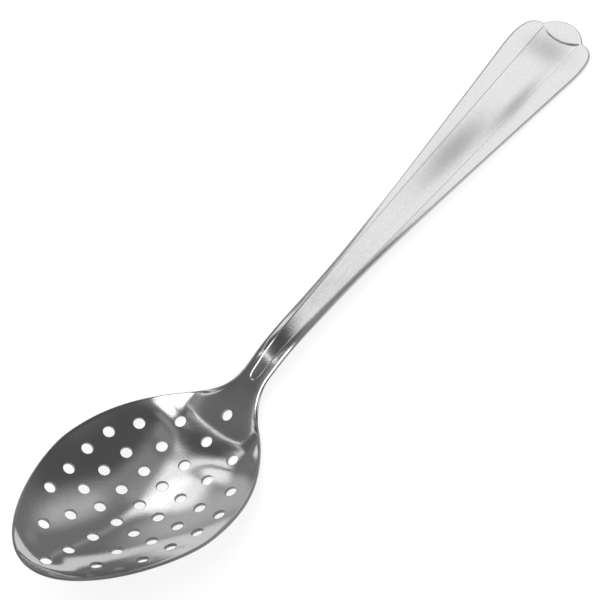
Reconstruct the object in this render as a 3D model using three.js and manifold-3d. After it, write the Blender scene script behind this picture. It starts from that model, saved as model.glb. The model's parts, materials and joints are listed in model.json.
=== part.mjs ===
// A skimmer: a perforated serving spoon made of one blank of stainless sheet.
// The blank is rolled, pressed to shape, coined with a panel on the handle and punched with holes.
// Millimetres, +Z up. It lies on a table, on the heel of its bowl and the end of its handle.
import * as THREE from "three";
import { mergeVertices } from "three/addons/utils/BufferGeometryUtils.js";
import Module from "manifold-3d";

// Outline in plan, with the rim level. A station is a distance from the tip of the bowl.
const WIDEST_STATION = 47.3;
const WIDEST_TO_NECK = 55.7;
const NECK_TO_NOTCH = 151;
const BOWL_WIDTH = 67.2;
const NECK_WIDTH = 10.4;
const HANDLE_WIDTH = 30.6;
const HANDLE_FLARE = 6.5; // degrees that each side of the handle opens by, at its end

// How far the outline keeps its direction at each end of its curves
const TIP_REACH = 19.5;
const BOWL_REACH_TO_TIP = 14;
const BOWL_REACH_TO_NECK = 37.5;
const NECK_REACH_TO_BOWL = 15.8;
const NECK_REACH_TO_HANDLE = 46.6;
const HANDLE_REACH = 85;
const CORNER_REACH_ALONG = 10;
const CORNER_REACH_ACROSS = 5.6;

// Lobed end of the handle
const CORNER_LENGTH = 14;
const NOTCH_SPAN = 17.4;
const LOBE_RISE = 4.2;
const LOBE_UNDERCUT = 2.9; // how far the middle lobe reaches back into the panel

// Side view of the edge: level round the bowl, then up the neck to a straight handle
const RISE_BEFORE_NECK = 45;
const SHOULDER_BEFORE_NECK = 17;
const SHOULDER_HEIGHT = 2.25;
const SHOULDER_SLOPE = 0.24;
const BEND_BEFORE_NECK = 5;
const BEND_HEIGHT = 8.1;
const BEND_SLOPE = 0.88;
const STRAIGHT_AFTER_NECK = 27;
const STRAIGHT_HEIGHT = 24.5;
const HANDLE_ANGLE = 20; // degrees above the rim

// Side view of the axis against the edge: the hollow of the bowl, then the crown of the neck
const BOWL_DEPTH = 10.4;
const DEEPEST_BEFORE_WIDEST = 1.9;
const TIP_WALL_LENGTH = 12;
const TIP_WALL_SHARE = 0.52; // of the depth
const TIP_SLOPE = -1;
const TIP_WALL_SLOPE = -0.32;
const HEEL_BEFORE_NECK = 23;
const HEEL_SHARE = 0.342; // of the depth
const HEEL_SLOPE = 0.33;
const RAMP_BEFORE_NECK = 17;
const RAMP_SHARE = 0.15; // of the depth
const RAMP_SLOPE = 0.34;
const CROWN_HEIGHT = 1.1;
const CROWN_BEFORE_NECK = 5;
const CROWN_END_AFTER_NECK = 82;

// Sections across: a power of 2 is a parabola, less has straighter walls, more has a flatter floor
const BOWL_POWER = 1.8;
const HEEL_POWER = 2.8;
const NECK_POWER = 3.6;
const BOWL_SECTION_BEFORE_NECK = 35;
const HEEL_SECTION_BEFORE_NECK = 25;
const NECK_SECTION_BEFORE_NECK = 9;

// Sheet, thickest at the neck
const BOWL_SHEET = 1.1;
const NECK_SHEET = 2;
const HANDLE_SHEET = 1.2;
const SHEET_GROWS_BEFORE_NECK = 30;
const SHEET_THINS_AFTER_NECK = 115;

// Coined panel along the handle
const PANEL_DEPTH = 0.3;
const PANEL_DRAFT = 0.35;
const PANEL_DISH = 0.25;
const PANEL_START_WIDTH = 2.4;
const PANEL_TO_NOTCH = 0.5;
const PANEL_START_BEFORE_NECK = 3.6;
const PANEL_START_SLOPE = 0.07;
const PANEL_END_SLOPE = 0.033;

// Holes, in rows across the bowl from the tip to the neck
const HOLE_DIAMETER = 4;
const HOLES_EACH_SIDE = [0, 1, 2, 3, 3, 3, 2, 1, 0];
const RIM_MARGINS = [0, 10.6, 6.4, 7.8, 7.4, 6.6, 8.2, 11.6, 0]; // from the last hole of a row to the rim
const ROW_PITCH = 10.22;
const TIP_HOLE_STATION = 7.2;
const NECK_HOLE_BEFORE_NECK = 15.4;
const ROW_BOW = 0.83; // how much more each row bows at the rim than the next one towards the neck
const STRAIGHT_ROW_COUNT = 2.4; // rows from the middle to the one that doesn't bow

// Fineness of the facets
const TIP_STEPS = 11;
const SHOULDER_STEPS = 17;
const HANDLE_STEPS = 16;
const CORNER_STEPS = 6;
const LOBE_STEPS = 6;
const STEPS_ACROSS = 16;
const PANEL_STEPS = 18;
const PANEL_STEPS_ACROSS = 4;
const ROUND_STEPS = 5;
const HOLE_SIDES = 16;
const LOBE_SIDES = 72;
const CUT_CLEARANCE = 0.6;

const NECK_STATION = WIDEST_STATION + WIDEST_TO_NECK;
const NOTCH_STATION = NECK_STATION + NECK_TO_NOTCH;
const CORNER_STATION = NOTCH_STATION - CORNER_LENGTH;
const NOTCH_HALF = NOTCH_SPAN / 2;
const HANDLE_SLOPE = Math.tan(THREE.MathUtils.degToRad(HANDLE_ANGLE));
const FLARE_SLOPE = Math.tan(THREE.MathUtils.degToRad(HANDLE_FLARE));
const STEEL = new THREE.MeshStandardMaterial({ color: 0xc4c6c7, metalness: 1, roughness: 0.22 });

const wasm = await Module();
wasm.setup();

// A smooth line through knots of [station, value, slope], straight before the first and after the last
function lineThrough(knots) {
  return (station) => {
    const after = knots.findIndex((knot) => knot[0] >= station);
    const [x0, y0, m0] = knots[after < 0 ? knots.length - 1 : Math.max(after - 1, 0)];
    if (after <= 0) {
      return y0 + m0 * (station - x0);
    }
    const [x1, y1, m1] = knots[after];
    const span = x1 - x0;
    const t = (station - x0) / span;
    const ease = t * t * (3 - 2 * t);
    return y0 + (y1 - y0) * ease + span * t * (1 - t) * (m0 * (1 - t) - m1 * t);
  };
}

const edgeHeight = lineThrough([
  [NECK_STATION - RISE_BEFORE_NECK, 0, 0],
  [NECK_STATION - SHOULDER_BEFORE_NECK, SHOULDER_HEIGHT, SHOULDER_SLOPE],
  [NECK_STATION - BEND_BEFORE_NECK, BEND_HEIGHT, BEND_SLOPE],
  [NECK_STATION + STRAIGHT_AFTER_NECK, STRAIGHT_HEIGHT, HANDLE_SLOPE],
]);

const axisOverEdge = lineThrough([
  [0, 0, TIP_SLOPE],
  [TIP_WALL_LENGTH, -TIP_WALL_SHARE * BOWL_DEPTH, TIP_WALL_SLOPE],
  [WIDEST_STATION - DEEPEST_BEFORE_WIDEST, -BOWL_DEPTH, 0],
  [NECK_STATION - HEEL_BEFORE_NECK, -HEEL_SHARE * BOWL_DEPTH, HEEL_SLOPE],
  [NECK_STATION - RAMP_BEFORE_NECK, -RAMP_SHARE * BOWL_DEPTH, RAMP_SLOPE],
  [NECK_STATION - CROWN_BEFORE_NECK, CROWN_HEIGHT, 0],
  [NECK_STATION + CROWN_END_AFTER_NECK, 0, 0],
]);

const sectionPower = lineThrough([
  [NECK_STATION - BOWL_SECTION_BEFORE_NECK, BOWL_POWER, 0],
  [NECK_STATION - HEEL_SECTION_BEFORE_NECK, HEEL_POWER, 0],
  [NECK_STATION - NECK_SECTION_BEFORE_NECK, NECK_POWER, 0],
]);

const sheetThickness = lineThrough([
  [NECK_STATION - SHEET_GROWS_BEFORE_NECK, BOWL_SHEET, 0],
  [NECK_STATION, NECK_SHEET, 0],
  [NECK_STATION + SHEET_THINS_AFTER_NECK, HANDLE_SHEET, 0],
]);

const panelHalfWidth = lineThrough([
  [NECK_STATION - PANEL_START_BEFORE_NECK, PANEL_START_WIDTH / 2, PANEL_START_SLOPE],
  [NOTCH_STATION, NOTCH_HALF - PANEL_TO_NOTCH, PANEL_END_SLOPE],
]);

// Curves of half the outline, from the tip to the middle of the handle's end
function outlineCurves() {
  const point = (x, y) => new THREE.Vector2(x, y);
  const tip = point(0, 0);
  const widest = point(WIDEST_STATION, BOWL_WIDTH / 2);
  const neck = point(NECK_STATION, NECK_WIDTH / 2);
  const corner = point(CORNER_STATION, HANDLE_WIDTH / 2);
  const notch = point(NOTCH_STATION, NOTCH_HALF);
  const along = (from, reach, slope = 0) => point(from.x + reach, from.y + reach * slope);
  const lobeRadius = (NOTCH_HALF ** 2 + LOBE_RISE ** 2) / (2 * LOBE_RISE);
  const lobeStation = NOTCH_STATION + LOBE_RISE - lobeRadius;
  const lobeStart = Math.atan2(NOTCH_HALF, NOTCH_STATION - lobeStation);
  const curve = (...points) => new THREE.CubicBezierCurve(...points);
  const tipSide = point(0, TIP_REACH);
  const neckSide = along(neck, -NECK_REACH_TO_BOWL);
  const handleSide = along(corner, -HANDLE_REACH, FLARE_SLOPE);
  const cornerSide = along(corner, CORNER_REACH_ALONG, FLARE_SLOPE);
  const cornerEnd = point(NOTCH_STATION, NOTCH_HALF + CORNER_REACH_ACROSS);
  return [
    [curve(tip, tipSide, along(widest, -BOWL_REACH_TO_TIP), widest), TIP_STEPS],
    [curve(widest, along(widest, BOWL_REACH_TO_NECK), neckSide, neck), SHOULDER_STEPS],
    [curve(neck, along(neck, NECK_REACH_TO_HANDLE), handleSide, corner), HANDLE_STEPS],
    [curve(corner, cornerSide, cornerEnd, notch), CORNER_STEPS],
    [new THREE.EllipseCurve(lobeStation, 0, lobeRadius, lobeRadius, lobeStart, 0, true), LOBE_STEPS],
  ];
}

const OUTLINE = outlineCurves();

function halfWidth(station) {
  const holds = ([curve]) => station <= curve.getPoint(1).x;
  const [curve] = OUTLINE.find(holds) ?? OUTLINE.at(-1);
  let [low, high] = [0, 1];
  for (let halving = 0; halving < 40; halving += 1) {
    const middle = (low + high) / 2;
    if (curve.getPoint(middle).x < station) {
      low = middle;
    } else {
      high = middle;
    }
  }
  return curve.getPoint(low).y;
}

// Height of the upper face, over a section as wide as the outline
function upperHeight(station, across, half = halfWidth(station)) {
  const share = Math.abs(across) / half;
  return edgeHeight(station) + axisOverEdge(station) * (1 - share ** sectionPower(station));
}

function upperNormal(station, across) {
  const step = 0.05;
  const at = Math.max(station, 4 * step); // the outline turns square to the axis at the very tip
  const room = halfWidth(at) - step;
  const y = THREE.MathUtils.clamp(across, -room, room);
  const alongSlope = (upperHeight(at + step, y) - upperHeight(at - step, y)) / (2 * step);
  const acrossSlope = (upperHeight(at, y + step) - upperHeight(at, y - step)) / (2 * step);
  return new THREE.Vector3(-alongSlope, -acrossSlope, 1).normalize();
}

// A closed body through sections of equally many points, with flat ends
function loft(sections) {
  const count = sections[0].length;
  const last = (sections.length - 1) * count;
  const triangles = [];
  for (let row = 0; row < last; row += count) {
    for (let k = 0; k < count; k += 1) {
      const here = row + k;
      const beside = row + (k + 1) % count;
      triangles.push(here, beside, beside + count, here, beside + count, here + count);
    }
  }
  for (let k = 1; k + 1 < count; k += 1) {
    triangles.push(0, k + 1, k, last, last + k, last + k + 1);
  }
  const geometry = new THREE.BufferGeometry().setFromPoints(sections.flat());
  geometry.setIndex(triangles);
  return geometry;
}

// A solid for cutting, with shared corners merged and the triangles that fold to a line left out
function solid(geometry) {
  geometry.deleteAttribute("normal");
  geometry.deleteAttribute("uv");
  const merged = mergeVertices(geometry);
  const corners = Array.from(merged.index.array);
  const kept = [];
  for (let k = 0; k < corners.length; k += 3) {
    const triangle = corners.slice(k, k + 3);
    if (new Set(triangle).size === 3) {
      kept.push(...triangle);
    }
  }
  const vertProperties = new Float32Array(merged.attributes.position.array);
  const triVerts = new Uint32Array(kept);
  return new wasm.Manifold(new wasm.Mesh({ numProp: 3, vertProperties, triVerts }));
}

function geometryOf(body) {
  const { vertProperties, triVerts } = body.getMesh();
  const geometry = new THREE.BufferGeometry();
  geometry.setAttribute("position", new THREE.BufferAttribute(vertProperties, 3));
  geometry.setIndex(new THREE.BufferAttribute(triVerts, 1));
  geometry.computeVertexNormals();
  return geometry;
}

// The pressed blank: the upper face, and the lower face a sheet's thickness under it
function pressedBlank() {
  const stations = [new THREE.Vector2(0, 0)];
  for (const [curve, steps] of OUTLINE) {
    stations.push(...curve.getPoints(steps).slice(1));
  }
  const sections = stations.map(({ x, y: half }) => {
    const upper = [];
    const lower = [];
    for (let k = 0; k <= STEPS_ACROSS; k += 1) {
      const share = 1 - 2 * k / STEPS_ACROSS;
      const place = new THREE.Vector3(x, share * half, upperHeight(x, share * half, half || 1));
      upper.push(place);
      lower.unshift(place.clone().addScaledVector(upperNormal(x, place.y), -sheetThickness(x)));
    }
    return [...upper, ...lower];
  });
  return solid(loft(sections));
}

// The die of the panel: a round start at the neck, drafted sides, a dished face
function panelDie() {
  const start = NECK_STATION - PANEL_START_BEFORE_NECK;
  const radius = panelHalfWidth(start);
  const end = NOTCH_STATION + CUT_CLEARANCE;
  const places = [];
  for (let k = 1; k < ROUND_STEPS; k += 1) {
    const turn = (Math.PI / 2) * (k / ROUND_STEPS);
    places.push([start + radius * (1 - Math.cos(turn)), radius * Math.sin(turn)]);
  }
  for (let k = 0; k <= PANEL_STEPS; k += 1) {
    const station = THREE.MathUtils.lerp(start + radius, end, k / PANEL_STEPS);
    places.push([station, panelHalfWidth(station)]);
  }
  const sections = places.map(([x, half]) => {
    const draft = Math.min(PANEL_DRAFT, half / 2);
    const dish = PANEL_DISH * half / NOTCH_HALF;
    const open = half + CUT_CLEARANCE * draft / PANEL_DEPTH;
    const face = [];
    for (let k = 0; k <= PANEL_STEPS_ACROSS; k += 1) {
      const share = 2 * k / PANEL_STEPS_ACROSS - 1;
      const y = share * (half - draft);
      const depth = PANEL_DEPTH + dish * (1 - share * share);
      face.push(new THREE.Vector3(x, y, upperHeight(x, y) - depth));
    }
    const lid = [open, -open].map((y) => new THREE.Vector3(x, y, upperHeight(x, half) + CUT_CLEARANCE));
    return [...face, ...lid];
  });
  return solid(loft(sections)).subtract(middleLobe());
}

// The middle lobe stays at full height: its edge meets the panel on an arc from notch to notch
function middleLobe() {
  const radius = (NOTCH_HALF ** 2 + LOBE_UNDERCUT ** 2) / (2 * LOBE_UNDERCUT);
  const station = NOTCH_STATION - LOBE_UNDERCUT + radius;
  const height = edgeHeight(station) * 2;
  const round = new THREE.CylinderGeometry(radius, radius, height, LOBE_SIDES);
  round.rotateX(Math.PI / 2);
  round.translate(station, 0, height / 2);
  return solid(round);
}

function holePlaces() {
  const middle = (HOLES_EACH_SIDE.length - 1) / 2;
  const neckHole = NECK_STATION - NECK_HOLE_BEFORE_NECK;
  return HOLES_EACH_SIDE.flatMap((eachSide, index) => {
    const row = index - middle;
    const station = THREE.MathUtils.clamp(WIDEST_STATION + row * ROW_PITCH, TIP_HOLE_STATION, neckHole);
    const pitchAcross = (halfWidth(station) - RIM_MARGINS[index]) / Math.max(eachSide, 1);
    const places = [];
    for (let k = -eachSide; k <= eachSide; k += 1) {
      const across = k * pitchAcross;
      const bow = ROW_BOW * (STRAIGHT_ROW_COUNT - row) * (2 * across / BOWL_WIDTH) ** 2;
      places.push([station + bow, across]);
    }
    return places;
  });
}

// Each punch stands square to the sheet
function punch([station, across]) {
  const normal = upperNormal(station, across);
  const length = 3 * Math.max(BOWL_SHEET, NECK_SHEET);
  const shape = new THREE.CylinderGeometry(HOLE_DIAMETER / 2, HOLE_DIAMETER / 2, length, HOLE_SIDES);
  shape.applyQuaternion(new THREE.Quaternion().setFromUnitVectors(new THREE.Vector3(0, 1, 0), normal));
  shape.translate(station, across, upperHeight(station, across));
  return solid(shape);
}

function skimmerBody() {
  const punches = holePlaces().map(punch);
  const allPunches = punches.reduce((joined, next) => joined.add(next));
  return pressedBlank().subtract(panelDie()).subtract(allPunches);
}

// The turn about Y that brings the heel of the bowl and the end of the handle to one level
function lyingTilt(geometry) {
  const { array } = geometry.attributes.position;
  const corners = [];
  for (let k = 0; k < array.length; k += 3) {
    corners.push(new THREE.Vector3().fromArray(array, k));
  }
  const end = corners.reduce((furthest, corner) => (corner.x > furthest.x ? corner : furthest));
  const bowl = corners.filter((corner) => corner.x < NECK_STATION);
  return bowl.reduce((most, corner) => Math.max(most, Math.atan2(end.z - corner.z, end.x - corner.x)), 0);
}

const body = new THREE.Mesh(geometryOf(skimmerBody()), STEEL);
body.name = "perforated_spoon";
body.rotation.y = lyingTilt(body.geometry);

const skimmer = new THREE.Group();
skimmer.add(body);
const box = new THREE.Box3().setFromObject(body, true);
body.position.set(-(box.min.x + box.max.x) / 2, 0, -box.min.z);

export default skimmer;
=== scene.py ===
import json
import math
from collections import namedtuple

import bmesh
import bpy
from bpy.props import FloatProperty, FloatVectorProperty, PointerProperty
from mathutils import Matrix, Vector


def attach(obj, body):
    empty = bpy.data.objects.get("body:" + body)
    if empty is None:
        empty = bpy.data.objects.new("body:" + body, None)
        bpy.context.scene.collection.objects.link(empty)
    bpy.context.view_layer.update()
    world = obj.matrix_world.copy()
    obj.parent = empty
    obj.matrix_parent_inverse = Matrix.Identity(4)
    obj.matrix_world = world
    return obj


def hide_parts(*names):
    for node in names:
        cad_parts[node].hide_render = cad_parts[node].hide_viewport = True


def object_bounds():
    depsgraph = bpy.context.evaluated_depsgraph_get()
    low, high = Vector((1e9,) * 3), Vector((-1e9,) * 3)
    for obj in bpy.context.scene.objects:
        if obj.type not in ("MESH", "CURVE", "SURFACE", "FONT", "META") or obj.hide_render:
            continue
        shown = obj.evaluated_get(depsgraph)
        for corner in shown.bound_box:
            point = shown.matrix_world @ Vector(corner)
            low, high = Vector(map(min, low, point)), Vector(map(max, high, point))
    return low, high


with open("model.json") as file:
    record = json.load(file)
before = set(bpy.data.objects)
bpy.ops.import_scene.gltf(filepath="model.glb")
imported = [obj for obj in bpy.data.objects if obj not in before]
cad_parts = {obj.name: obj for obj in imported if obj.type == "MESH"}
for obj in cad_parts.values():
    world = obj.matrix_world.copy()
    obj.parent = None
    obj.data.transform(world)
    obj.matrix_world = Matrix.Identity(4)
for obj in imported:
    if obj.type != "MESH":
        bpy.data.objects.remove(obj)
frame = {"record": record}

bl_info = {
    "name": "Pressed Skimmer",
    "version": (1, 0, 0),
    "blender": (4, 5, 0),
    "location": "View3D > Sidebar > Skimmer",
    "description": "A perforated skimming spoon pressed from one sheet of stainless steel",
    "category": "Add Mesh",
}

NODE = "perforated_spoon"
BODY = "root"
CAD_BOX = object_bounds()

# Places along the spoon, in metres from the tip of the bowl, with the rim level
WIDEST = 0.0473
NECK = 0.1030
CORNER = 0.2400
NOTCH = 0.2540

# How far the outline keeps its direction at each end of its curves
TIP_REACH = 0.0195
BOWL_REACH_TO_TIP = 0.0140
BOWL_REACH_TO_NECK = 0.0375
NECK_REACH_TO_BOWL = 0.0158
NECK_REACH_TO_HANDLE = 0.0466
HANDLE_REACH = 0.0850
CORNER_REACH_ALONG = 0.0100
CORNER_REACH_ACROSS = 0.0056
HANDLE_FLARE = math.tan(math.radians(6.5))

# Lobed end of the handle
NOTCH_HALF = 0.0087
LOBE_RISE = 0.0042
LOBE_UNDERCUT = 0.0029

# Side view of the edge: level round the bowl, then up the neck to a straight handle
RISE = NECK - 0.045
SHOULDER = NECK - 0.017
SHOULDER_HEIGHT = 0.00225
SHOULDER_SLOPE = 0.24
BEND = NECK - 0.005
BEND_HEIGHT = 0.0081
BEND_SLOPE = 0.88
STRAIGHT = NECK + 0.027
STRAIGHT_HEIGHT = 0.0245

# Side view of the axis against the edge: the hollow of the bowl, then the crown of the neck
DEEPEST = WIDEST - 0.0019
TIP_WALL = 0.012
TIP_WALL_SHARE = 0.52
TIP_SLOPE = -1
TIP_WALL_SLOPE = -0.32
HEEL = NECK - 0.023
HEEL_SHARE = 0.344
HEEL_SLOPE = 0.355
RAMP = NECK - 0.0195
RAMP_SHARE = 0.213
RAMP_SLOPE = 0.455
CROWN = NECK - 0.005
CROWN_HEIGHT = 0.0010
CROWN_SLOPE = -0.12
CREST = NECK + 0.003
CREST_HEIGHT = 0.00050
CREST_SLOPE = -0.004
CROWN_END = NECK + 0.112

# Sections across: a power of 2 is a parabola, less has straighter walls, more has a flatter floor
BOWL_POWER = 1.8
HEEL_POWER = 2.8
NECK_POWER = 9
HANDLE_POWER = 5
BOWL_SECTION = NECK - 0.035
HEEL_SECTION = NECK - 0.025
NECK_SECTION = NECK - 0.009
HANDLE_SECTION = NECK + 0.014

# Sheet, thickest at the neck
SHEET_GROWS = NECK - 0.030
SHEET_THINS = NECK + 0.115

# Coined panel along the handle
PANEL_START = NECK - 0.0036
PANEL_START_HALF = 0.0017
PANEL_START_SLOPE = 0.07
PANEL_END_HALF = NOTCH_HALF - 0.0005
PANEL_END_SLOPE = 0.033
PANEL_DEEP = NECK + 0.012
PANEL_SHALLOW = NECK + 0.050

# Holes in rows across the bowl, from the tip to the neck
HOLES_EACH_SIDE = (0, 1, 2, 3, 3, 3, 2, 1, 0)
RIM_MARGINS = (0, 0.0106, 0.0064, 0.0078, 0.0074, 0.0066, 0.0082, 0.0116, 0)
ROW_PITCH = 0.01022
TIP_HOLE = 0.0072
NECK_HOLE = NECK - 0.0154
ROW_BOW = 0.00083
STRAIGHT_ROW = 2.4

# Steps and tolerances of the mesh
TIP_STEPS = 46
SHOULDER_STEPS = 54
NECK_STEPS = 30
NECK_STEPS_FROM = 0.9
HANDLE_STEPS = 110
CORNER_STEPS = 64
LOBE_STEPS = 16
FLANGE_COLUMNS = 22
WALL_COLUMNS = 7
PANEL_COLUMNS = 20
CREASE_LIMIT = 0.85
DRAFT_LIMIT = 0.1
ROUND_STEPS = 4
HOLE_SIDES = 40
HOLE_ROUND_STEPS = 3
HOLE_ROUND_TURN = math.radians(60)
PUNCH_PAST = 0.0003
PROBE = 0.00005
PROBES_FROM = 4 * PROBE
NUDGE = 0.0005
HALVINGS = 36
WELD = 1e-7
SHARP_ANGLE = math.radians(24)

# Cut edges and hole walls carry this face attribute, which mixes in the dark edge colour: partly the duller
# cut steel, partly painted shade.
# It fades along the handle on the side nearer the camera, to a painted lighter edge, and past the later
# station the outermost faces on top carry a share of it, a painted dark outline that is stronger on the far
# side.
DULL_AND_PAINTED_SHADE = "dull_and_painted_shade"
DULL_AND_PAINTED_SHADE_TO = 0.115
PAINTED_EDGE_LIGHT_AND_SHADE_FROM = 0.150
NEAR_EDGE_PAINTED_LIGHT_SHARE = 0.05
FAR_BORDER_SHARE = 0.8
NEAR_BORDER_SHARE = 0.3

# Texture of the steel: scales per metre, heights in metres, and shares of tone and of roughness
WAVE_SCALE = 80
WAVE_DETAIL = 1
WAVE_HEIGHT = 0.00005
GRAIN_SCALE = 1600
GRAIN_DETAIL = 2
GRAIN_HEIGHT = 0.00001
SCRATCH_SCALES = (500, 2500, 2500)
SCRATCH_DETAIL = 3
SCRATCH_TONE = 0.22
SCRATCH_BLUR = 0.05
CLOUD_SCALE = 70
CLOUD_DETAIL = 2
CLOUD_BLUR = 0.05
NOISE_MEAN = 0.5

# Sockets of the nodes that mix colours and shaders, which use the same names more than once
MIX_SHARE = 0
FIRST_COLOR = 6
SECOND_COLOR = 7
MIXED_COLOR = 2
FIRST_SHADER = 1
SECOND_SHADER = 2

# Hazy spots on the handle's panel: their places, reach and added roughness
Haze = namedtuple("Haze", "station across along_reach across_reach roughness")
HAZE = (
    Haze(0.1990, 0.0008, 0.0160, 0.0050, 0.33),
    Haze(0.2240, -0.0054, 0.0130, 0.0030, 0.32),
    Haze(0.2465, 0.0000, 0.0060, 0.0105, 0.26),
)

# Soft boxes of the studio. A direction is measured from straight over the level rim, in radians:
# along the spoon towards its handle, and across it towards the side away from the camera.
# A box of negative strength is a dark card.
SoftBox = namedtuple("SoftBox", "along across half_along half_across turn softness strength")
STUDIO = {
    "large box": SoftBox(0.175, 0.67, 0.30, 0.26, 0.4, 0.13, 1.20),
    "its lamp": SoftBox(0.27, 0.68, 0.17, 0.13, 0.4, 0.15, 0.50),
    "its flag": SoftBox(0.035, 0.78, 0.035, 0.13, -0.25, 0.06, -1.1),
    "skirt": SoftBox(0.23, 0.24, 0.21, 0.19, 0, 0.12, 0.24),
    "flange box": SoftBox(-0.08, 0.14, 0.06, 0.20, 0, 0.12, 0.24),
    "strip": SoftBox(-0.41, 0.55, 0.02, 0.12, 0, 0.04, 1.5),
    "strip's far end": SoftBox(-0.33, 0.40, 0.02, 0.11, 0.45, 0.04, 0.5),
    "strip's tail": SoftBox(-0.43, 0.33, 0.02, 0.11, 0, 0.05, 0.7),
    "strip's near end": SoftBox(-0.26, 0.74, 0.02, 0.17, -0.75, 0.04, 0.8),
    "patch": SoftBox(0.70, 0.10, 0.22, 0.12, -0.4, 0.25, 0.62),
    "band": SoftBox(0.75, 0.62, 0.28, 0.05, -0.1, 0.12, 0.18),
    "upper glow": SoftBox(0.42, 1.12, 0.28, 0.2, -0.5, 0.3, 0.42),
    "side card": SoftBox(0.4, -0.05, 0.5, 0.3, -0.2, 0.25, -0.14),
    "corner card": SoftBox(1.05, 1.0, 0.2, 0.25, 0, 0.3, -0.09),
    "neck card": SoftBox(-0.42, 0.55, 0.36, 0.36, 0, 0.12, -0.09),
    "heel card": SoftBox(-0.22, 0.54, 0.09, 0.1, 0.4, 0.08, -0.06),
    "second box": SoftBox(-0.47, -0.045, 0.2, 0.195, 0, 0.1, 2.8),
    "second glow": SoftBox(-0.50, 0.34, 0.14, 0.16, 0, 0.2, 0.22),
    "low box": SoftBox(-0.26, 1.24, 0.10, 0.11, 0, 0.1, 1.0),
    "back box": SoftBox(-1.15, 0.9, 0.25, 0.3, 0, 0.3, 0.9),
    "back right box": SoftBox(-1.1, -0.9, 0.3, 0.3, 0, 0.3, 0.7),
    "right box": SoftBox(0.40, -0.85, 0.5, 0.33, 0, 0.2, 1.0),
}

# Table, overhead lamp and camera: metres, and the sensor in millimetres
FLOOR_HALF = 30
FLOOR_ROUGHNESS = 0.9
LAMP_SIZE = 1.5
LAMP_HEIGHT = 1.5
SENSOR_WIDTH = 36
CLIP_START = 0.01


class SkimmerSizes(bpy.types.PropertyGroup):
    """Sizes of the pressed spoon"""

    bowl_width: FloatProperty(
        name="Bowl Width", description="Across the rim at its widest", default=0.0672, unit="LENGTH")
    bowl_depth: FloatProperty(
        name="Bowl Depth", description="From the rim down to the hollow", default=0.0104, unit="LENGTH")
    neck_width: FloatProperty(
        name="Neck Width", description="Across the neck", default=0.0104, unit="LENGTH")
    handle_width: FloatProperty(
        name="Handle Width", description="Across the handle where its corners start", default=0.0306,
        unit="LENGTH")
    handle_angle: FloatProperty(
        name="Handle Angle", description="Slope of the handle over the rim", default=math.radians(20),
        subtype="ANGLE")
    bowl_sheet: FloatProperty(
        name="Bowl Sheet", description="Thickness of the bowl", default=0.0011, unit="LENGTH")
    neck_sheet: FloatProperty(
        name="Neck Sheet", description="Thickness of the neck", default=0.0020, unit="LENGTH")
    handle_sheet: FloatProperty(
        name="Handle Sheet", description="Thickness of the handle's end", default=0.0012, unit="LENGTH")
    edge_round: FloatProperty(
        name="Edge Round", description="Radius polished onto the cut edge", default=0.00028, unit="LENGTH")
    hole_diameter: FloatProperty(
        name="Hole Diameter", description="Punch of the drain holes", default=0.0040, unit="LENGTH")
    hole_round: FloatProperty(
        name="Hole Round", description="Radius polished onto the holes' edges", default=0.00012,
        unit="LENGTH")
    panel_start_depth: FloatProperty(
        name="Panel Start Depth", description="Step at the side of the coined panel, at the neck",
        default=0.00013, unit="LENGTH")
    panel_side_depth: FloatProperty(
        name="Panel Side Depth", description="The same step along the handle", default=0.000026,
        unit="LENGTH")
    panel_end_depth: FloatProperty(
        name="Panel End Depth", description="The same step at the lobe", default=0.000028, unit="LENGTH")
    panel_draft: FloatProperty(
        name="Panel Draft", description="Width of that step", default=0.00045, unit="LENGTH")
    panel_dish: FloatProperty(
        name="Panel Dish", description="Hollow of the panel at its wide end", default=0.00015, unit="LENGTH")
    panel_lean: FloatProperty(
        name="Panel Lean", description="How much deeper the panel lies at its crease nearer the camera",
        default=0.000095, unit="LENGTH")


class SkimmerFinish(bpy.types.PropertyGroup):
    """Finish of the steel"""

    steel_color: FloatVectorProperty(
        name="Steel", description="Colour of the polished steel", default=(0.594, 0.596, 0.592),
        subtype="COLOR", size=3, min=0, max=1)
    # The dark edge colour is partly duller cut steel and partly painted shade: it darkens the cut edges and
    # hole walls and paints a dark outline along the handle's top.
    edge_and_painted_shade_color: FloatVectorProperty(
        name="Cut Edge and Painted Shade", description="Colour of the sheared edges and hole walls",
        default=(0.26, 0.26, 0.265), subtype="COLOR", size=3, min=0, max=1)
    roughness: FloatProperty(
        name="Roughness", description="Blur of the reflections", default=0.10, min=0, max=1)
    edge_roughness: FloatProperty(
        name="Edge Roughness", description="Blur on the cut edges", default=0.42, min=0, max=1)


class SkimmerStage(bpy.types.PropertyGroup):
    """Floor, lights and camera"""

    floor_color: FloatVectorProperty(
        name="Floor", description="Colour of the floor", default=(0.95, 0.95, 0.95), subtype="COLOR", size=3,
        min=0, max=1)
    floor_glow: FloatProperty(
        name="Floor Glow", description="Share of the floor's look that is plain white", default=0.85,
        min=0, max=1)
    room_light: FloatProperty(
        name="Room Light", description="Light of the studio around the soft boxes", default=0.27, min=0)
    fill_power: FloatProperty(
        name="Fill Power", description="Overhead lamp that the steel doesn't mirror", default=20,
        unit="POWER")
    lens: FloatProperty(name="Lens", description="Focal length in millimetres", default=145.5)
    azimuth: FloatProperty(
        name="Azimuth", description="Turn of the view from the spoon's right side towards its tip",
        default=math.radians(45.71), subtype="ANGLE")
    elevation: FloatProperty(
        name="Elevation", description="Height of the view over the rim", default=math.radians(43.88),
        subtype="ANGLE")
    distance: FloatProperty(
        name="Distance", description="From the camera to its aim", default=0.7868, unit="LENGTH")
    aim: FloatVectorProperty(
        name="Aim", description="Point at the picture's centre, from the tip with the rim level",
        default=(0.11304, -0.00933, 0.04386), subtype="XYZ", size=3, unit="LENGTH")
    lying: FloatVectorProperty(
        name="Lying", description="From the level rim to the table, set when the spoon is pressed",
        subtype="MATRIX", size=(4, 4))


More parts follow.
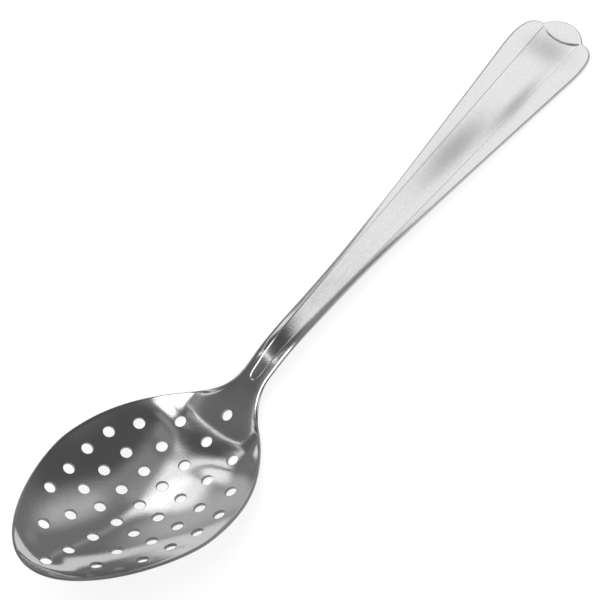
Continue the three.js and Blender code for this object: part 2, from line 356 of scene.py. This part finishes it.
class Value:
    """A socket of a node tree, whose sums and products add Math nodes."""

    def __init__(self, tree, socket):
        self.tree = tree
        self.socket = socket

    def output(self, name):
        """Another output of the same node."""
        return Value(self.tree, self.socket.node.outputs[name])

    def math(self, operation, *terms):
        return self.tree.add("ShaderNodeMath", {"operation": operation}, dict(enumerate(terms)))

    def __add__(self, other):
        return self.math("ADD", self, other)

    def __radd__(self, other):
        return self.math("ADD", other, self)

    def __sub__(self, other):
        return self.math("SUBTRACT", self, other)

    def __rsub__(self, other):
        return self.math("SUBTRACT", other, self)

    def __mul__(self, other):
        return self.math("MULTIPLY", self, other)

    def __rmul__(self, other):
        return self.math("MULTIPLY", other, self)

    def __truediv__(self, other):
        return self.math("DIVIDE", self, other)

    def __rtruediv__(self, other):
        return self.math("DIVIDE", other, self)

    def __abs__(self):
        return self.math("ABSOLUTE", self)


class Tree:
    """The nodes of a material or a world, built up from none."""

    def __init__(self, owner):
        owner.use_nodes = True
        self.nodes = owner.node_tree.nodes
        self.links = owner.node_tree.links
        self.nodes.clear()

    def add(self, kind, settings=(), sockets=(), output=0):
        """A node of that kind, with its settings set first and then its sockets' values or links."""
        node = self.nodes.new(kind)
        for name, value in dict(settings).items():
            setattr(node, name, value)
        for name, value in dict(sockets).items():
            if isinstance(value, Value):
                self.links.new(value.socket, node.inputs[name])
            else:
                node.inputs[name].default_value = value
        return Value(self, node.outputs[output]) if node.outputs else None


def line_through(*knots):
    """A smooth line through knots of (station, value, slope), straight beyond the first and the last."""
    def value(station):
        after = next((k for k, knot in enumerate(knots) if knot[0] >= station), len(knots))
        x0, y0, m0 = knots[max(after - 1, 0)]
        if after in (0, len(knots)):
            return y0 + m0 * (station - x0)
        x1, y1, m1 = knots[after]
        span = x1 - x0
        t = (station - x0) / span
        ease = t * t * (3 - 2 * t)
        return y0 + (y1 - y0) * ease + span * t * (1 - t) * (m0 * (1 - t) - m1 * t)
    return value


def bezier(a, b, c, d):
    """A cubic curve in plan."""
    def point(t):
        s = 1 - t
        return a * s ** 3 + b * (3 * s * s * t) + c * (3 * s * t * t) + d * t ** 3
    return point


class PressedForm:
    """The upper face of the pressed sheet: its outline, its heights and its thickness."""

    def __init__(self, sizes):
        depth = sizes.bowl_depth
        self.sizes = sizes
        self.outline = self.outline_curves()
        self.edge_height = line_through(
            (RISE, 0, 0),
            (SHOULDER, SHOULDER_HEIGHT, SHOULDER_SLOPE),
            (BEND, BEND_HEIGHT, BEND_SLOPE),
            (STRAIGHT, STRAIGHT_HEIGHT, math.tan(sizes.handle_angle)))
        self.axis_over_edge = line_through(
            (0, 0, TIP_SLOPE),
            (TIP_WALL, -TIP_WALL_SHARE * depth, TIP_WALL_SLOPE),
            (DEEPEST, -depth, 0),
            (HEEL, -HEEL_SHARE * depth, HEEL_SLOPE),
            (RAMP, -RAMP_SHARE * depth, RAMP_SLOPE),
            (CROWN, CROWN_HEIGHT, CROWN_SLOPE),
            (CREST, CREST_HEIGHT, CREST_SLOPE),
            (CROWN_END, 0, 0))
        self.section_power = line_through(
            (BOWL_SECTION, BOWL_POWER, 0),
            (HEEL_SECTION, HEEL_POWER, 0),
            (NECK_SECTION, NECK_POWER, 0),
            (HANDLE_SECTION, HANDLE_POWER, 0))
        self.thickness = line_through(
            (SHEET_GROWS, sizes.bowl_sheet, 0),
            (NECK, sizes.neck_sheet, 0),
            (SHEET_THINS, sizes.handle_sheet, 0))
        self.crease = line_through(
            (PANEL_START, PANEL_START_HALF, PANEL_START_SLOPE), (NOTCH, PANEL_END_HALF, PANEL_END_SLOPE))
        # Share of the dark edge colour on the near side's edge: full, then fading along the handle to a
        # painted lighter edge.
        self.dull_and_painted_shade_share = line_through((DULL_AND_PAINTED_SHADE_TO, 1, 0), (PAINTED_EDGE_LIGHT_AND_SHADE_FROM, NEAR_EDGE_PAINTED_LIGHT_SHARE, 0))
        self.step_depth = line_through(
            (PANEL_DEEP, sizes.panel_start_depth, 0),
            (PANEL_SHALLOW, sizes.panel_side_depth, 0),
            (CORNER, sizes.panel_side_depth, 0),
            (NOTCH, sizes.panel_end_depth, 0))
        self.lean_depth = line_through((PANEL_DEEP, 0, 0), (PANEL_SHALLOW, sizes.panel_lean, 0))

    def outline_curves(self):
        """Curves of half the outline from tip to lobe, each with the steps of its stretches."""
        sizes = self.sizes
        widest = Vector((WIDEST, sizes.bowl_width / 2))
        neck = Vector((NECK, sizes.neck_width / 2))
        corner = Vector((CORNER, sizes.handle_width / 2))
        notch = Vector((NOTCH, NOTCH_HALF))
        along = Vector((1, 0))
        flare = Vector((1, HANDLE_FLARE))
        radius = (NOTCH_HALF ** 2 + LOBE_RISE ** 2) / (2 * LOBE_RISE)
        centre = Vector((NOTCH + LOBE_RISE - radius, 0))
        start = math.atan2(NOTCH_HALF, NOTCH - centre.x)

        def lobe(t):
            turn = start * (1 - t)
            return centre + radius * Vector((math.cos(turn), math.sin(turn)))

        tip = bezier(Vector((0, 0)), Vector((0, TIP_REACH)), widest - BOWL_REACH_TO_TIP * along, widest)
        shoulder = bezier(
            widest, widest + BOWL_REACH_TO_NECK * along, neck - NECK_REACH_TO_BOWL * along, neck)
        handle = bezier(neck, neck + NECK_REACH_TO_HANDLE * along, corner - HANDLE_REACH * flare, corner)
        rounded = bezier(
            corner, corner + CORNER_REACH_ALONG * flare, notch + Vector((0, CORNER_REACH_ACROSS)), notch)
        return (
            (tip, ((0, 1, TIP_STEPS),)),
            (shoulder, ((0, NECK_STEPS_FROM, SHOULDER_STEPS), (NECK_STEPS_FROM, 1, NECK_STEPS))),
            (handle, ((0, 1, HANDLE_STEPS),)),
            (rounded, ((0, 1, CORNER_STEPS),)),
            (lobe, ((0, 1, LOBE_STEPS),)),
        )

    def half_width(self, station):
        """Half the width of the outline at a station, found by halving."""
        curve = next((c for c, _ in self.outline if station <= c(1).x), self.outline[-1][0])
        low, high = 0.0, 1.0
        for _ in range(HALVINGS):
            middle = (low + high) / 2
            if curve(middle).x < station:
                low = middle
            else:
                high = middle
        return curve(low).y

    def height(self, station, across, half):
        """Height of the pressed face over the rim, without the coined panel."""
        share = min(abs(across) / half, 1.0) ** self.section_power(station)
        return self.edge_height(station) + self.axis_over_edge(station) * (1 - share)

    def section(self, station):
        """A function that gives the upper face's point and normal on one section of the spoon."""
        at = max(station, PROBES_FROM)
        stations = (at - PROBE, at, at + PROBE)
        before, here, after = [self.half_width(s) for s in stations]
        true_half = max(self.half_width(station), PROBE)

        def point_and_normal(across):
            room = here - PROBE
            y = min(max(across, -room), room)
            rise = self.height(stations[2], y, after) - self.height(stations[0], y, before)
            side = self.height(at, y + PROBE, here) - self.height(at, y - PROBE, here)
            point = Vector((station, across, self.height(station, across, true_half)))
            return point, Vector((-rise, -side, 2 * PROBE)).normalized()
        return point_and_normal

    def panel_depth(self, station, across):
        """How deep the coined panel lies under the pressed face."""
        sizes = self.sizes
        end_radius = (NOTCH_HALF ** 2 + LOBE_UNDERCUT ** 2) / (2 * LOBE_UNDERCUT)
        end_centre = NOTCH - LOBE_UNDERCUT + end_radius
        half = self.crease(max(station, PANEL_START))
        inside = min(half - abs(across), math.hypot(station - end_centre, across) - end_radius)
        start_centre = PANEL_START + PANEL_START_HALF
        if station < start_centre:
            inside = min(inside, PANEL_START_HALF - math.hypot(start_centre - station, across))
        ramp = min(max(inside / sizes.panel_draft, 0.0), 1.0)
        ease = ramp * ramp * (3 - 2 * ramp)
        dish = sizes.panel_dish * (half / NOTCH_HALF) * (1 - min(abs(across) / half, 1.0) ** 2)
        lean = self.lean_depth(station) * max(-across / half, 0.0)
        return ease * (self.step_depth(station) + dish + lean)

    def outline_rows(self):
        """Stations and half widths of the sections, on the outline drawn in by the edge's rounding."""
        rows = []
        for curve, stretches in self.outline:
            for low, high, steps in stretches:
                rows += [self.inset_point(curve, low + (high - low) * k / steps) for k in range(steps)]
        last = self.outline[-1][0](1)
        rows.append(Vector((last.x - self.sizes.edge_round, 0)))
        return rows

    def inset_point(self, curve, t):
        """A point of the outline, drawn in by the edge's rounding."""
        ahead = curve(min(t + NUDGE, 1)) - curve(max(t - NUDGE, 0))
        inward = Vector((ahead.y, -ahead.x)).normalized()
        point = curve(t) + self.sizes.edge_round * inward
        return Vector((point.x, max(point.y, 0.0)))

    def columns(self, station, half):
        """Places across a section, with columns on both sides of each crease."""
        draft = self.sizes.panel_draft
        if station < PANEL_START:
            share = half / self.half_width(PANEL_START)
            crease = PANEL_START_HALF * share
            wall = draft * share
        else:
            crease = min(self.crease(station), CREASE_LIMIT * half)
            wall = min(draft, DRAFT_LIMIT * half)
        left = [half + (crease - half) * k / FLANGE_COLUMNS for k in range(FLANGE_COLUMNS)]
        left += [crease - wall * k / WALL_COLUMNS for k in range(WALL_COLUMNS)]
        floor = crease - wall
        middle = [floor - 2 * floor * k / PANEL_COLUMNS for k in range(PANEL_COLUMNS + 1)]
        return left + middle + [-y for y in reversed(left)]

    def hole_places(self):
        """Station and offset of each drain hole."""
        middle = (len(HOLES_EACH_SIDE) - 1) // 2
        places = []
        for index, each_side in enumerate(HOLES_EACH_SIDE):
            row = index - middle
            station = min(max(WIDEST + row * ROW_PITCH, TIP_HOLE), NECK_HOLE)
            across = (self.half_width(station) - RIM_MARGINS[index]) / max(each_side, 1)
            for k in range(-each_side, each_side + 1):
                bow = ROW_BOW * (STRAIGHT_ROW - row) * (2 * k * across / self.sizes.bowl_width) ** 2
                places.append((station + bow, k * across))
        return places


def upper_face(form):
    """The upper face of the spoon without holes, and the normal at each of its vertices."""
    rows = form.outline_rows()
    columns = [form.columns(row.x, row.y) for row in rows]
    sections = [form.section(row.x) for row in rows]
    last_row = len(rows) - 1
    last_column = len(columns[0]) - 1
    bm = bmesh.new()
    bmesh.ops.create_grid(bm, x_segments=last_row, y_segments=last_column, size=1)
    normals = {}
    for vert in bm.verts:
        row = round((vert.co.x + 1) / 2 * last_row)
        column = round((1 - vert.co.y) / 2 * last_column)
        vert.co, normals[vert] = sections[row](columns[row][column])
    ends = [v for v in bm.verts if not rows[0].x + WELD < v.co.x < rows[-1].x - WELD]
    bmesh.ops.remove_doubles(bm, verts=ends, dist=WELD)
    bm.normal_update()
    if sum(face.normal.z for face in bm.faces) < 0:
        bmesh.ops.reverse_faces(bm, faces=bm.faces)
    return bm, {vert: normals[vert] for vert in bm.verts}


def lower_face(bm, normals, form):
    """A copy of the upper face, a sheet's thickness under it."""
    copied = bmesh.ops.duplicate(bm, geom=bm.verts[:] + bm.edges[:] + bm.faces[:])
    for vert, normal in normals.items():
        copied["vert_map"][vert].co = vert.co - form.thickness(vert.co.x) * normal
    faces = [item for item in copied["geom"] if isinstance(item, bmesh.types.BMFace)]
    bmesh.ops.reverse_faces(bm, faces=faces)


def outward_sides(border, normals):
    """The direction out of the sheet at each vertex of the upper face's border."""
    sides = {}
    for edge in border:
        loop = edge.link_loops[0]
        start = loop.vert
        end = loop.link_loop_next.vert
        side = (end.co - start.co).normalized().cross(normals[start])
        for vert in (start, end):
            sides[vert] = sides.get(vert, Vector()) + side
    return {vert: side.normalized() for vert, side in sides.items()}


def rounded_edge(bm, normals, form):
    """Loops from the upper face's border round the polished edge to the lower face."""
    radius = form.sizes.edge_round
    dull_and_painted_shade = bm.faces.layers.float.new(DULL_AND_PAINTED_SHADE)
    border = [edge for edge in bm.edges if edge.is_boundary and edge.verts[0] in normals]
    # Painted shade: along the handle the outermost faces on top take a share of the dark edge colour, a dark
    # outline stronger on the far side.
    for face in {face for edge in border for face in edge.link_faces}:
        middle = face.calc_center_median()
        if middle.x > PAINTED_EDGE_LIGHT_AND_SHADE_FROM:
            face[dull_and_painted_shade] = FAR_BORDER_SHARE if middle.y > 0 else NEAR_BORDER_SHARE
    base = {}
    for vert, side in outward_sides(border, normals).items():
        base[vert] = (vert.co.copy(), side, normals[vert], form.thickness(vert.co.x))
    turns = [math.pi / 2 * k / ROUND_STEPS for k in range(1, ROUND_STEPS + 1)]
    places = [(radius * math.sin(a), 0, radius * (1 - math.cos(a))) for a in turns]
    places += [(radius * math.sin(a), 1, -radius * (1 - math.cos(a))) for a in reversed(turns)]
    places.append((0, 1, 0))
    for out, at_bottom, down in places:
        made = bmesh.ops.extrude_edge_only(bm, edges=border)["geom"]
        new = {item for item in made if isinstance(item, bmesh.types.BMVert)}
        for vert in new:
            source = next(e.other_vert(vert) for e in vert.link_edges if e.other_vert(vert) not in new)
            base[vert] = base[source]
            point, side, normal, thickness = base[vert]
            vert.co = point + out * side - (down + at_bottom * thickness) * normal
        # The edge's own faces take the dark edge colour, partly duller cut steel and partly painted shade;
        # on the near side it fades along the handle to a painted lighter edge.
        for face in (item for item in made if isinstance(item, bmesh.types.BMFace)):
            middle = face.calc_center_median()
            face[dull_and_painted_shade] = form.dull_and_painted_shade_share(middle.x) if middle.y < 0 else 1
        edges = [item for item in made if isinstance(item, bmesh.types.BMEdge)]
        border = [edge for edge in edges if new.issuperset(edge.verts)]
    bmesh.ops.remove_doubles(bm, verts=bm.verts[:], dist=WELD)
    bmesh.ops.recalc_face_normals(bm, faces=bm.faces[:])


def punch(radius, rounding, half):
    """A cutter for one hole: a waisted round that leaves the hole's edges rounded."""
    turns = [HOLE_ROUND_TURN * k / HOLE_ROUND_STEPS for k in range(HOLE_ROUND_STEPS + 1)]
    flare = [(radius + rounding * (1 - math.cos(a)), half - rounding * (1 - math.sin(a))) for a in turns]
    out, up = flare[-1]
    top = half + PUNCH_PAST
    flare.append((out + (top - up) * math.tan(HOLE_ROUND_TURN), top))
    side = [(r, -h) for r, h in reversed(flare)] + flare
    bm = bmesh.new()
    verts = [bm.verts.new((r, 0, h)) for r, h in [(0, -top)] + side + [(0, top)]]
    edges = [bm.edges.new(pair) for pair in zip(verts, verts[1:])]
    bmesh.ops.spin(
        bm, geom=verts + edges, cent=(0, 0, 0), axis=(0, 0, 1), angle=math.tau, steps=HOLE_SIDES,
        use_merge=True)
    bmesh.ops.remove_doubles(bm, verts=bm.verts[:], dist=WELD)
    bmesh.ops.recalc_face_normals(bm, faces=bm.faces[:])
    return bm


def punches(form):
    """The cutters of all the drain holes, square to the sheet."""
    sizes = form.sizes
    every = bmesh.new()
    single = bpy.data.meshes.new("punch")
    for station, across in form.hole_places():
        point, normal = form.section(station)(across)
        half = form.thickness(station) / 2
        bm = punch(sizes.hole_diameter / 2, sizes.hole_round, half)
        turn = Vector((0, 0, 1)).rotation_difference(normal).to_matrix().to_4x4()
        bmesh.ops.transform(bm, matrix=Matrix.Translation(point - half * normal) @ turn, verts=bm.verts[:])
        bm.to_mesh(single)
        bm.free()
        every.from_mesh(single)
    bpy.data.meshes.remove(single)
    # The hole walls take the dark edge colour: duller cut steel, and painted shade inside the holes.
    dull_and_painted_shade = every.faces.layers.float.new(DULL_AND_PAINTED_SHADE)
    for face in every.faces:
        face[dull_and_painted_shade] = 1
    return every


def object_from(bm, name):
    """A new object of the scene with that mesh, which is then freed."""
    mesh = bpy.data.meshes.new(name)
    bm.to_mesh(mesh)
    bm.free()
    piece = bpy.data.objects.new(name, mesh)
    bpy.context.scene.collection.objects.link(piece)
    return piece


def cut(piece, cutter):
    """Takes the cutter out of the piece and deletes the cutter."""
    boolean = piece.modifiers.new("Punch", "BOOLEAN")
    boolean.operation = "DIFFERENCE"
    boolean.solver = "EXACT"
    boolean.object = cutter
    evaluated = piece.evaluated_get(bpy.context.evaluated_depsgraph_get())
    mesh = bpy.data.meshes.new_from_object(evaluated)
    piece.modifiers.remove(boolean)
    piece.data = mesh
    bpy.data.objects.remove(cutter)


def lay_down(piece, sizes):
    """Turns the spoon as the frame has it, centres it in the frame's box and gives the matrix."""
    axis = Vector(frame["record"]["mounts"][0]["axis"])
    turn = Matrix.Rotation(sizes.handle_angle + math.asin(-axis.x), 4, "Y")
    piece.data.transform(turn)
    corners = [v.co for v in piece.data.vertices]
    low = Vector(min(c[k] for c in corners) for k in range(3))
    high = Vector(max(c[k] for c in corners) for k in range(3))
    box_middle = (CAD_BOX[0][0] + CAD_BOX[1][0]) / 2
    shift = Matrix.Translation((box_middle - (low.x + high.x) / 2, 0, -low.z))
    piece.data.transform(shift)
    return shift @ turn


def mix_colors(tree, share, first, second):
    """The first colour where the share is 0, and the second where it is 1."""
    return tree.add(
        "ShaderNodeMix", {"data_type": "RGBA"},
        {MIX_SHARE: share, FIRST_COLOR: first, SECOND_COLOR: second}, output=MIXED_COLOR)


def noise(tree, place, scale, detail):
    """A soft noise between 0 and 1, with its mean at NOISE_MEAN."""
    return tree.add("ShaderNodeTexNoise", {}, {"Vector": place, "Scale": scale, "Detail": detail})


def spot(haze, station, across):
    """1 in the middle of a hazy spot, fading away round it."""
    along = (station - haze.station) / haze.along_reach
    aside = (across - haze.across) / haze.across_reach
    return along.math("EXPONENT", -1 * (along * along + aside * aside))


def steel_material(finish, lying):
    """Polished sheet with a soft waviness, fine scratches and hazy spots, and duller cut edges whose dark
    colour is partly painted shade.
    """
    material = bpy.data.materials.new("polished_stainless")
    tree = Tree(material)
    level = lying.inverted()
    place = tree.add("ShaderNodeMapping", {"vector_type": "POINT"}, {
        "Vector": tree.add("ShaderNodeTexCoord", output="Object"),
        "Location": level.translation, "Rotation": level.to_euler()})
    station = tree.add("ShaderNodeSeparateXYZ", {}, {"Vector": place}, output="X")
    across = station.output("Y")
    along_grain = tree.add("ShaderNodeMapping", {"vector_type": "POINT"}, {
        "Vector": place, "Scale": SCRATCH_SCALES})
    scratches = noise(tree, along_grain, 1, SCRATCH_DETAIL)
    cloud = noise(tree, place, CLOUD_SCALE, CLOUD_DETAIL)
    waves = noise(tree, place, WAVE_SCALE, WAVE_DETAIL)
    grain = noise(tree, place, GRAIN_SCALE, GRAIN_DETAIL)
    edge_dullness_and_painted_shade = tree.add("ShaderNodeAttribute", {"attribute_name": DULL_AND_PAINTED_SHADE}, output="Fac")

    scratched = [value * (1 - SCRATCH_TONE) for value in finish.steel_color]
    steel = mix_colors(tree, scratches, (*finish.steel_color, 1), (*scratched, 1))
    # Painted shade mixed with the duller cut steel: the attribute darkens the edges, the hole walls and an
    # outline on the handle's top.
    color = mix_colors(tree, edge_dullness_and_painted_shade, steel, (*finish.edge_and_painted_shade_color, 1))
    roughness = finish.roughness + CLOUD_BLUR * (cloud - NOISE_MEAN)
    roughness = roughness + SCRATCH_BLUR * (scratches - NOISE_MEAN)
    for haze in HAZE:
        roughness = roughness + spot(haze, station, across) * haze.roughness
    roughness = roughness + edge_dullness_and_painted_shade * (finish.edge_roughness - finish.roughness)
    wavy = tree.add("ShaderNodeBump", {}, {"Distance": WAVE_HEIGHT, "Height": waves})
    grained = tree.add("ShaderNodeBump", {}, {"Distance": GRAIN_HEIGHT, "Height": grain, "Normal": wavy})
    shader = tree.add("ShaderNodeBsdfPrincipled", {}, {
        "Base Color": color, "Metallic": 1, "Roughness": roughness, "Normal": grained})
    tree.add("ShaderNodeOutputMaterial", {}, {"Surface": shader})
    return material


class SKIMMER_OT_spoon(bpy.types.Operator):
    """Presses the sheet, coins the panel, punches the holes and lays the spoon down"""

    bl_idname = "skimmer.spoon"
    bl_label = "Press Spoon"

    def execute(self, context):
        scene = context.scene
        form = PressedForm(scene.skimmer_sizes)
        bm, normals = upper_face(form)
        lower_face(bm, normals, form)
        for vert in normals:
            vert.co.z -= form.panel_depth(vert.co.x, vert.co.y)
        rounded_edge(bm, normals, form)
        spoon = object_from(bm, "pressed_spoon")
        cut(spoon, object_from(punches(form), "punches"))
        lying = lay_down(spoon, form.sizes)
        scene.skimmer_stage.lying = lying
        spoon.data.polygons.foreach_set("use_smooth", [True] * len(spoon.data.polygons))
        spoon.data.set_sharp_from_angle(angle=SHARP_ANGLE)
        spoon.data.materials.clear()
        spoon.data.materials.append(steel_material(scene.skimmer_finish, lying))
        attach(spoon, BODY)
        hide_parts(NODE)
        return {"FINISHED"}


def lay_floor(stage):
    """A white table that keeps a faint shadow of the spoon."""
    bm = bmesh.new()
    bmesh.ops.create_grid(bm, x_segments=1, y_segments=1, size=FLOOR_HALF)
    floor = object_from(bm, "floor")
    material = bpy.data.materials.new("white_table")
    tree = Tree(material)
    table = tree.add("ShaderNodeBsdfPrincipled", {}, {
        "Base Color": (*stage.floor_color, 1), "Roughness": FLOOR_ROUGHNESS})
    glow = tree.add("ShaderNodeEmission")
    camera_ray = tree.add("ShaderNodeLightPath", output="Is Camera Ray")
    seen = camera_ray + camera_ray.output("Is Glossy Ray") + camera_ray.output("Is Transmission Ray")
    mixed = tree.add("ShaderNodeMixShader", {}, {
        MIX_SHARE: seen * stage.floor_glow, FIRST_SHADER: table, SECOND_SHADER: glow})
    tree.add("ShaderNodeOutputMaterial", {}, {"Surface": mixed})
    floor.data.materials.append(material)


def box_light(tree, box, along, across):
    """How much a soft box adds in a direction."""
    cos = math.cos(box.turn)
    sin = math.sin(box.turn)
    to_along = along - box.along
    to_across = across - box.across
    first = box.half_along - abs(to_along * cos + to_across * sin)
    second = box.half_across - abs(to_across * cos - to_along * sin)
    shares = [tree.add("ShaderNodeMapRange", {"interpolation_type": "SMOOTHSTEP"}, {
        "Value": inside, "From Min": -box.softness / 2, "From Max": box.softness / 2})
        for inside in (first, second)]
    return shares[0] * shares[1] * box.strength


def light_studio(scene, stage, lying):
    """A dim room with soft boxes, and an overhead lamp for the table."""
    scene.world = bpy.data.worlds.new("studio")
    tree = Tree(scene.world)
    direction = tree.add("ShaderNodeTexCoord", output="Generated")
    tilt = lying.to_euler().y
    level = tree.add("ShaderNodeMapping", {"vector_type": "VECTOR"}, {
        "Vector": direction, "Rotation": (0, -tilt, 0)})
    x = tree.add("ShaderNodeSeparateXYZ", {}, {"Vector": level}, output="X")
    y = x.output("Y")
    z = x.output("Z")
    from_top = z.math("ARCCOSINE", z)
    spread = from_top / z.math("SQRT", 1 - z * z)
    along = x * spread
    across = y * spread
    light = stage.room_light
    for box in STUDIO.values():
        light = light + box_light(tree, box, along, across)
    background = tree.add("ShaderNodeBackground", {}, {"Color": light})
    tree.add("ShaderNodeOutputWorld", {}, {"Surface": background})

    lamp = bpy.data.lights.new("overhead", "AREA")
    lamp.energy = stage.fill_power
    lamp.size = LAMP_SIZE
    overhead = bpy.data.objects.new("overhead", lamp)
    overhead.location = (0, 0, LAMP_HEIGHT)
    overhead.visible_glossy = False
    scene.collection.objects.link(overhead)


def aim_camera(scene, stage, lying):
    """A camera at the photograph's viewing angle."""
    cos = math.cos(stage.azimuth)
    sin = math.sin(stage.azimuth)
    level = math.cos(stage.elevation)
    right = Vector((cos, -sin, 0))
    ahead = Vector((level * sin, level * cos, -math.sin(stage.elevation)))
    turn = Matrix((right, right.cross(ahead), -ahead)).transposed().to_4x4()
    place = Vector(stage.aim) - stage.distance * ahead
    data = bpy.data.cameras.new("camera")
    data.lens = stage.lens
    data.sensor_width = SENSOR_WIDTH
    data.clip_start = CLIP_START
    camera = bpy.data.objects.new("camera", data)
    camera.matrix_world = lying @ Matrix.Translation(place) @ turn
    scene.collection.objects.link(camera)
    scene.camera = camera


class SKIMMER_OT_stage(bpy.types.Operator):
    """Makes the floor, the lights and the camera"""

    bl_idname = "skimmer.stage"
    bl_label = "Set Stage"

    def execute(self, context):
        scene = context.scene
        stage = scene.skimmer_stage
        lying = Matrix(stage.lying)
        lay_floor(stage)
        light_studio(scene, stage, lying)
        aim_camera(scene, stage, lying)
        scene.view_settings.view_transform = "Standard"
        return {"FINISHED"}


class SKIMMER_PT_panel(bpy.types.Panel):
    """Lists the steps of the skimmer"""

    bl_idname = "SKIMMER_PT_panel"
    bl_label = "Skimmer"
    bl_space_type = "VIEW_3D"
    bl_region_type = "UI"
    bl_category = "Skimmer"

    def draw(self, context):
        for group in SETTINGS:
            settings = getattr(context.scene, group)
            for name in settings.bl_rna.properties.keys():
                if name not in ("rna_type", "name"):
                    self.layout.prop(settings, name)
        self.layout.operator(SKIMMER_OT_spoon.bl_idname)
        self.layout.operator(SKIMMER_OT_stage.bl_idname)


CLASSES = (SkimmerSizes, SkimmerFinish, SkimmerStage, SKIMMER_OT_spoon, SKIMMER_OT_stage, SKIMMER_PT_panel)
SETTINGS = {"skimmer_sizes": SkimmerSizes, "skimmer_finish": SkimmerFinish, "skimmer_stage": SkimmerStage}


def register():
    for cls in CLASSES:
        bpy.utils.register_class(cls)
    for name, group in SETTINGS.items():
        setattr(bpy.types.Scene, name, PointerProperty(type=group))


def unregister():
    for name in SETTINGS:
        delattr(bpy.types.Scene, name)
    for cls in reversed(CLASSES):
        bpy.utils.unregister_class(cls)


def main():
    register()
    bpy.ops.skimmer.spoon()
    bpy.ops.skimmer.stage()


if __name__ == "__main__":
    main()
